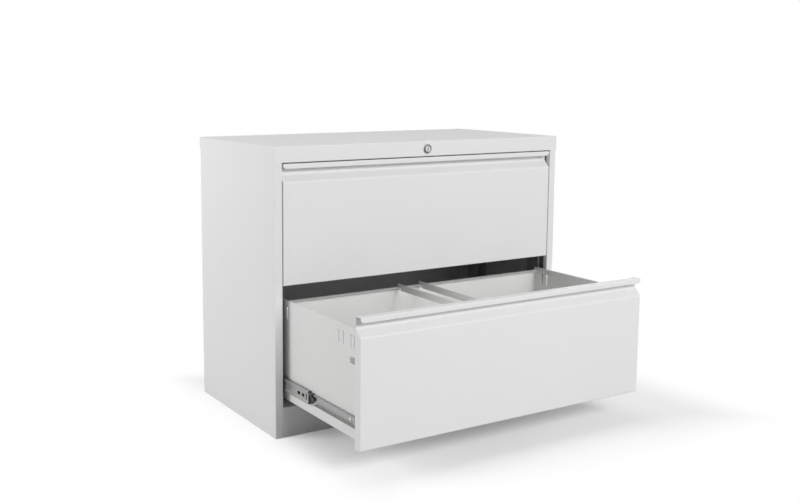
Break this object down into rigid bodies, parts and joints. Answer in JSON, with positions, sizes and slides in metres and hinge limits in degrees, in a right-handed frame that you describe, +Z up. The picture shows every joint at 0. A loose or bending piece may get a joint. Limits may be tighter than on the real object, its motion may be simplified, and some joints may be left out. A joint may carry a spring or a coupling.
{
  "type": "filing cabinet",
  "caption": "Wide steel filing cabinet with stacked drawers on telescopic slides, folded lip pulls, hanging file rails and a keyed lock in its top cap.",
  "frame": {"origin": "on the floor under the middle of the case", "axes": "+X to the right of someone facing the front, +Y to the back, +Z up"},
  "size_m": [0.9, 0.8044, 0.726],
  "materials": {
    "white_paint": "fine satin powder coat",
    "zinc_steel": "zinc plated",
    "black_plastic": "moulded",
    "chrome": "polished plate"
  },
  "bodies": {
    "case": {"top_cap": "white_paint", "left_side_panel": "white_paint", "right_side_panel": "white_paint", "back_panel": "white_paint", "base_pan": "white_paint", "left_front_upright": "zinc_steel", "left_rear_upright": "zinc_steel", "right_front_upright": "zinc_steel", "right_rear_upright": "zinc_steel", "back_panel_screws": "zinc_steel", "case_slide_screws": "zinc_steel", "lock_housing": "chrome", "lock_nut": "zinc_steel", "upper_left_slide_outer": "zinc_steel", "upper_right_slide_outer": "zinc_steel", "lower_left_slide_outer": "zinc_steel", "lower_right_slide_outer": "zinc_steel"},
    "lock_plug": {"lock_plug": "chrome", "lock_cam": "zinc_steel", "lock_cam_screw": "zinc_steel"},
    "upper_drawer": {"upper_drawer_front": "white_paint", "upper_drawer_inner_front": "white_paint", "upper_drawer_body": "white_paint", "upper_drawer_back": "white_paint", "upper_left_hanging_rail": "white_paint", "upper_right_hanging_rail": "white_paint", "upper_front_screws": "zinc_steel", "upper_slide_screws": "zinc_steel", "upper_left_slide_inner": "zinc_steel", "upper_right_slide_inner": "zinc_steel"},
    "upper_left_slide_middle": {"upper_left_slide_middle": "zinc_steel"},
    "upper_left_outer_retainer": {"upper_left_outer_retainer": "zinc_steel"},
    "upper_left_inner_retainer": {"upper_left_inner_retainer": "zinc_steel"},
    "upper_left_slide_lever": {"upper_left_slide_lever": "black_plastic"},
    "upper_right_slide_middle": {"upper_right_slide_middle": "zinc_steel"},
    "upper_right_outer_retainer": {"upper_right_outer_retainer": "zinc_steel"},
    "upper_right_inner_retainer": {"upper_right_inner_retainer": "zinc_steel"},
    "upper_right_slide_lever": {"upper_right_slide_lever": "black_plastic"},
    "lower_drawer": {"lower_drawer_front": "white_paint", "lower_drawer_inner_front": "white_paint", "lower_drawer_body": "white_paint", "lower_drawer_back": "white_paint", "lower_left_hanging_rail": "white_paint", "lower_right_hanging_rail": "white_paint", "lower_front_screws": "zinc_steel", "lower_slide_screws": "zinc_steel", "lower_left_slide_inner": "zinc_steel", "lower_right_slide_inner": "zinc_steel"},
    "lower_left_slide_middle": {"lower_left_slide_middle": "zinc_steel"},
    "lower_left_outer_retainer": {"lower_left_outer_retainer": "zinc_steel"},
    "lower_left_inner_retainer": {"lower_left_inner_retainer": "zinc_steel"},
    "lower_left_slide_lever": {"lower_left_slide_lever": "black_plastic"},
    "lower_right_slide_middle": {"lower_right_slide_middle": "zinc_steel"},
    "lower_right_outer_retainer": {"lower_right_outer_retainer": "zinc_steel"},
    "lower_right_inner_retainer": {"lower_right_inner_retainer": "zinc_steel"},
    "lower_right_slide_lever": {"lower_right_slide_lever": "black_plastic"}
  },
  "joints": [
    {"name": "lock_turn", "type": "hinge", "parent": "case", "child": "lock_plug", "pos_m": [0, -0.225, 0.7054], "axis": [0, 1, 0], "range_deg": [0, 90]},
    {"name": "upper_drawer_slide", "type": "slide", "parent": "case", "child": "upper_drawer", "axis": [0, -1, 0], "range_m": [0, 0.355]},
    {"name": "upper_left_slide_middle_slide", "type": "slide", "parent": "case", "child": "upper_left_slide_middle", "axis": [0, -1, 0], "range_m": [0, 0.1775]},
    {"name": "upper_left_outer_retainer_slide", "type": "slide", "parent": "case", "child": "upper_left_outer_retainer", "axis": [0, -1, 0], "range_m": [0, 0.08875]},
    {"name": "upper_left_inner_retainer_slide", "type": "slide", "parent": "case", "child": "upper_left_inner_retainer", "axis": [0, -1, 0], "range_m": [0, 0.26625]},
    {"name": "upper_left_slide_lever_press", "type": "hinge", "parent": "upper_drawer", "child": "upper_left_slide_lever", "pos_m": [-0.42035, 0.0032, 0.441], "axis": [1, 0, 0], "range_deg": [0, 6], "stiffness_Nm_per_rad": 0.05},
    {"name": "upper_right_slide_middle_slide", "type": "slide", "parent": "case", "child": "upper_right_slide_middle", "axis": [0, -1, 0], "range_m": [0, 0.1775]},
    {"name": "upper_right_outer_retainer_slide", "type": "slide", "parent": "case", "child": "upper_right_outer_retainer", "axis": [0, -1, 0], "range_m": [0, 0.08875]},
    {"name": "upper_right_inner_retainer_slide", "type": "slide", "parent": "case", "child": "upper_right_inner_retainer", "axis": [0, -1, 0], "range_m": [0, 0.26625]},
    {"name": "upper_right_slide_lever_press", "type": "hinge", "parent": "upper_drawer", "child": "upper_right_slide_lever", "pos_m": [0.42035, 0.0032, 0.441], "axis": [1, 0, 0], "range_deg": [0, 6], "stiffness_Nm_per_rad": 0.05},
    {"name": "lower_drawer_slide", "type": "slide", "parent": "case", "child": "lower_drawer", "axis": [0, -1, 0], "range_m": [-0.355, 0]},
    {"name": "lower_left_slide_middle_slide", "type": "slide", "parent": "case", "child": "lower_left_slide_middle", "axis": [0, -1, 0], "range_m": [-0.1775, 0]},
    {"name": "lower_left_outer_retainer_slide", "type": "slide", "parent": "case", "child": "lower_left_outer_retainer", "axis": [0, -1, 0], "range_m": [-0.08875, 0]},
    {"name": "lower_left_inner_retainer_slide", "type": "slide", "parent": "case", "child": "lower_left_inner_retainer", "axis": [0, -1, 0], "range_m": [-0.26625, 0]},
    {"name": "lower_left_slide_lever_press", "type": "hinge", "parent": "lower_drawer", "child": "lower_left_slide_lever", "pos_m": [-0.42035, -0.3518, 0.1365], "axis": [1, 0, 0], "range_deg": [0, 6], "stiffness_Nm_per_rad": 0.05},
    {"name": "lower_right_slide_middle_slide", "type": "slide", "parent": "case", "child": "lower_right_slide_middle", "axis": [0, -1, 0], "range_m": [-0.1775, 0]},
    {"name": "lower_right_outer_retainer_slide", "type": "slide", "parent": "case", "child": "lower_right_outer_retainer", "axis": [0, -1, 0], "range_m": [-0.08875, 0]},
    {"name": "lower_right_inner_retainer_slide", "type": "slide", "parent": "case", "child": "lower_right_inner_retainer", "axis": [0, -1, 0], "range_m": [-0.26625, 0]},
    {"name": "lower_right_slide_lever_press", "type": "hinge", "parent": "lower_drawer", "child": "lower_right_slide_lever", "pos_m": [0.42035, -0.3518, 0.1365], "axis": [1, 0, 0], "range_deg": [0, 6], "stiffness_Nm_per_rad": 0.05}
  ],
  "couplings": [
    {"joint": "upper_left_slide_middle_slide", "follows": "upper_drawer_slide", "ratio": 0.5},
    {"joint": "upper_left_outer_retainer_slide", "follows": "upper_drawer_slide", "ratio": 0.25},
    {"joint": "upper_left_inner_retainer_slide", "follows": "upper_drawer_slide", "ratio": 0.75},
    {"joint": "upper_right_slide_middle_slide", "follows": "upper_drawer_slide", "ratio": 0.5},
    {"joint": "upper_right_outer_retainer_slide", "follows": "upper_drawer_slide", "ratio": 0.25},
    {"joint": "upper_right_inner_retainer_slide", "follows": "upper_drawer_slide", "ratio": 0.75},
    {"joint": "lower_left_slide_middle_slide", "follows": "lower_drawer_slide", "ratio": 0.5},
    {"joint": "lower_left_outer_retainer_slide", "follows": "lower_drawer_slide", "ratio": 0.25},
    {"joint": "lower_left_inner_retainer_slide", "follows": "lower_drawer_slide", "ratio": 0.75},
    {"joint": "lower_right_slide_middle_slide", "follows": "lower_drawer_slide", "ratio": 0.5},
    {"joint": "lower_right_outer_retainer_slide", "follows": "lower_drawer_slide", "ratio": 0.25},
    {"joint": "lower_right_inner_retainer_slide", "follows": "lower_drawer_slide", "ratio": 0.75}
  ]
}
